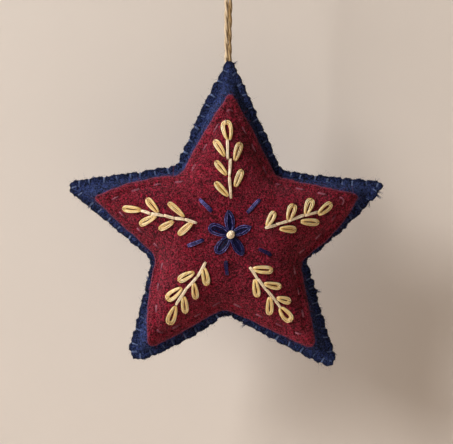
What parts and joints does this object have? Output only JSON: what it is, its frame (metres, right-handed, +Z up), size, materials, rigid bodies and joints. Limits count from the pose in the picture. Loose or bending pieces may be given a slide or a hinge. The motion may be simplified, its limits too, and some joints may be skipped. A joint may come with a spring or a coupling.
{
  "type": "felt star ornament",
  "caption": "Stuffed felt star with a stitched edge, a second felt star on its face, embroidered sprigs and a flower, and a doubled cord with an eye to hang it.",
  "frame": {"origin": "centre of the peg or twig inside the top of the cord's eye, where the ornament hangs", "axes": "+Z up; the embroidered face looks along -Y; +X to the right seen from the face"},
  "size_m": [0.0999, 0.0216, 0.1536],
  "materials": {
    "navy_felt": "matt wool felt, navy, fuzzy",
    "maroon_felt": "matt wool felt, maroon, heathered",
    "wadding": "loose fibre filling",
    "navy_thread": "stranded cotton, slight sheen",
    "maroon_thread": "stranded cotton, slight sheen",
    "gold_floss": "stranded cotton floss with sheen",
    "blue_floss": "stranded cotton floss with sheen",
    "jute": "two-ply jute twine, hairy"
  },
  "bodies": {
    "eye": {"hanger_eye": "jute"},
    "knot": {"hanger_knot": "jute"},
    "star": {"back_felt": "navy_felt", "front_felt": "navy_felt", "wadding": "wadding", "applique": "maroon_felt", "edge_stitching": "navy_thread", "applique_stitching": "maroon_thread", "sprig_top": "gold_floss", "sprig_right": "gold_floss", "sprig_lower_right": "gold_floss", "sprig_lower_left": "gold_floss", "sprig_left": "gold_floss", "petal_1": "blue_floss", "petal_2": "blue_floss", "petal_3": "blue_floss", "petal_4": "blue_floss", "petal_5": "blue_floss", "ray_1": "blue_floss", "ray_2": "blue_floss", "ray_3": "blue_floss", "ray_4": "blue_floss", "ray_5": "blue_floss", "flower_knot": "gold_floss", "cord_tail": "jute", "cord_leg_left": "jute", "cord_leg_right": "jute"}
  },
  "joints": [
    {"name": "swing", "type": "hinge", "parent": "eye", "child": "knot", "pos_m": [0, 0, 0], "axis": [0, 1, 0], "range_deg": [-60, 60]},
    {"name": "twist", "type": "hinge", "parent": "knot", "child": "star", "pos_m": [0, 0, -0.019], "axis": [0, 0, 1], "range_deg": [-180, 180]}
  ]
}
